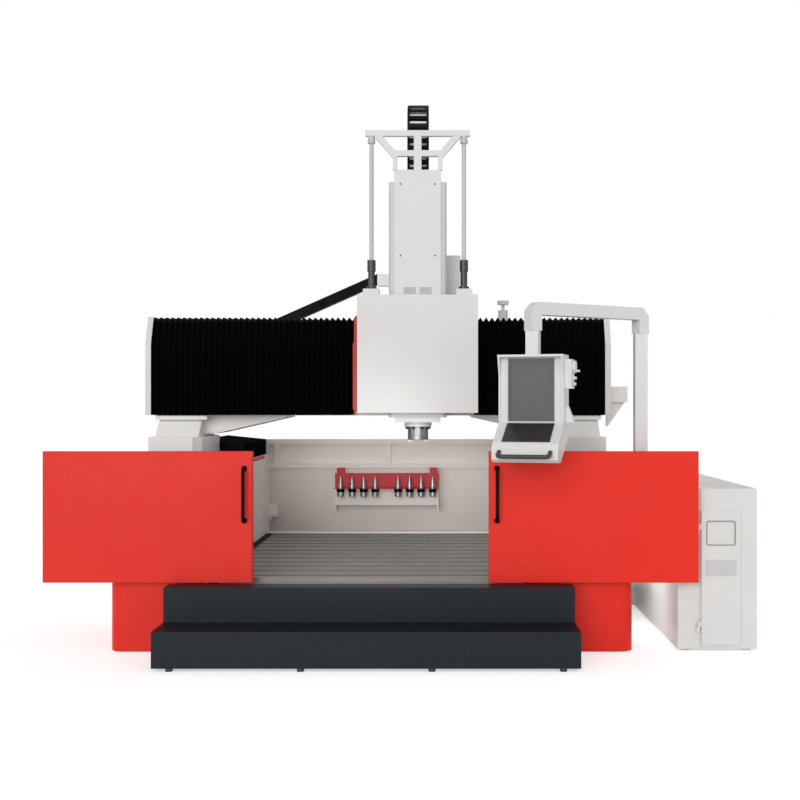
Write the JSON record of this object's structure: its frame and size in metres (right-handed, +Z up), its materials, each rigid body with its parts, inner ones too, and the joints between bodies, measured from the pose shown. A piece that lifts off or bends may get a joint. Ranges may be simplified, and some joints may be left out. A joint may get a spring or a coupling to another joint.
{
  "type": "gantry milling machine",
  "caption": "Moving-bridge milling machine: T-slot bed, sliding doors, cross beam in bellows, ram head with balance rods, tool rack, step, control pendant and electric cabinet.",
  "frame": {"origin": "on the floor under the middle of the bed", "axes": "+Z up, +X to the right seen from the doors, +Y from the doors to the rear wall"},
  "size_m": [4.606, 3.2523, 3.722],
  "materials": {
    "cast_paint": "satin",
    "table_iron": "ground",
    "red_paint": "satin",
    "navy_paint": "satin",
    "white_paint": "satin",
    "bellows_cloth": "matte",
    "steel": "ground",
    "dark_metal": "satin",
    "black_plastic": "matte",
    "dark_plastic": "matte"
  },
  "bodies": {
    "base": {"bed": "cast_paint", "front_guard": "red_paint", "work_table": "table_iron", "chip_gutters": "black_plastic", "rear_wall": "cast_paint", "y_rails": "steel", "y_magnet_tracks": "dark_metal", "way_end_plates": "dark_metal", "rear_way_cover_left": "bellows_cloth", "rear_way_cover_right": "bellows_cloth", "front_way_cover_left": "bellows_cloth", "front_way_cover_right": "bellows_cloth", "rack_bar": "cast_paint", "rack_plate": "red_paint", "tool_holders": "steel", "step": "navy_paint", "step_feet": "dark_metal", "door_guides": "dark_metal", "pendant_post": "white_paint", "cabinet_shell": "white_paint", "drive_rack": "dark_metal"},
    "left_door": {"left_door_panel": "red_paint", "left_door_handle": "black_plastic"},
    "right_door": {"right_door_panel": "red_paint", "right_door_handle": "black_plastic"},
    "gantry": {"left_column": "white_paint", "right_column": "white_paint", "cross_beam": "white_paint", "beam_end_caps": "white_paint", "y_runners": "steel", "y_forcers": "dark_metal", "way_cover_frames": "dark_metal", "x_rails": "steel", "x_magnet_track": "dark_metal", "left_beam_bellows": "bellows_cloth", "right_beam_bellows": "bellows_cloth", "lifting_post": "white_paint", "end_bracket": "white_paint"},
    "carriage": {"saddle": "red_paint", "x_runners": "steel", "head_cover": "white_paint", "z_runners": "steel", "balance_cylinders": "dark_metal", "chain_box": "white_paint", "cable_duct": "black_plastic"},
    "ram": {"ram": "white_paint", "ram_front_plate": "white_paint", "z_rails": "steel", "yoke": "white_paint", "balance_rods": "steel", "spindle_housing": "white_paint"},
    "spindle": {"spindle_nose": "steel"},
    "z_chain": {"z_chain": "black_plastic"},
    "arm": {"swing_arm": "white_paint"},
    "pendant": {"pendant_housing": "white_paint", "pendant_screen": "dark_plastic", "pendant_keypad": "dark_plastic", "pendant_grip": "steel"},
    "handwheel": {"mpg_wheel": "white_paint"},
    "cabinet_door": {"cabinet_door": "white_paint"}
  },
  "joints": [
    {"name": "gantry_slide", "type": "slide", "parent": "base", "child": "gantry", "axis": [0, 1, 0], "range_m": [-0.36, 0.82], "deforming": ["rear_way_cover_left", "rear_way_cover_right", "front_way_cover_left", "front_way_cover_right"]},
    {"name": "carriage_slide", "type": "slide", "parent": "gantry", "child": "carriage", "axis": [1, 0, 0], "range_m": [-1.04, 0.46], "deforming": ["left_beam_bellows", "right_beam_bellows"]},
    {"name": "ram_slide", "type": "slide", "parent": "carriage", "child": "ram", "axis": [0, 0, -1], "range_m": [0, 0.7]},
    {"name": "z_chain_roll", "type": "slide", "parent": "carriage", "child": "z_chain", "axis": [0, 0, -1], "range_m": [0, 0.35]},
    {"name": "spindle_spin", "type": "hinge", "parent": "ram", "child": "spindle", "pos_m": [0.293, -0.77, 1.4], "axis": [0, 0, -1], "continuous": true},
    {"name": "left_door_slide", "type": "slide", "parent": "base", "child": "left_door", "axis": [1, 0, 0], "range_m": [0, 0.755]},
    {"name": "right_door_slide", "type": "slide", "parent": "base", "child": "right_door", "axis": [-1, 0, 0], "range_m": [0, 0.755]},
    {"name": "arm_swivel", "type": "hinge", "parent": "base", "child": "arm", "pos_m": [1.7738, -1.153, 2.1], "axis": [0, 0, 1], "range_deg": [0, 90]},
    {"name": "pendant_swivel", "type": "hinge", "parent": "arm", "child": "pendant", "pos_m": [1.02418, -1.59456, 2.06], "axis": [0, 0, 1], "range_deg": [-35, 55]},
    {"name": "handwheel_spin", "type": "hinge", "parent": "pendant", "child": "handwheel", "pos_m": [1.26422, -1.66794, 1.834], "axis": [0.9563, -0.2924, 0], "continuous": true},
    {"name": "cabinet_door_hinge", "type": "hinge", "parent": "base", "child": "cabinet_door", "pos_m": [2.126, -1.317, 0.5], "axis": [0, 0, -1], "range_deg": [0, 90]}
  ],
  "couplings": [
    {"joint": "z_chain_roll", "follows": "ram_slide", "ratio": 0.5}
  ]
}
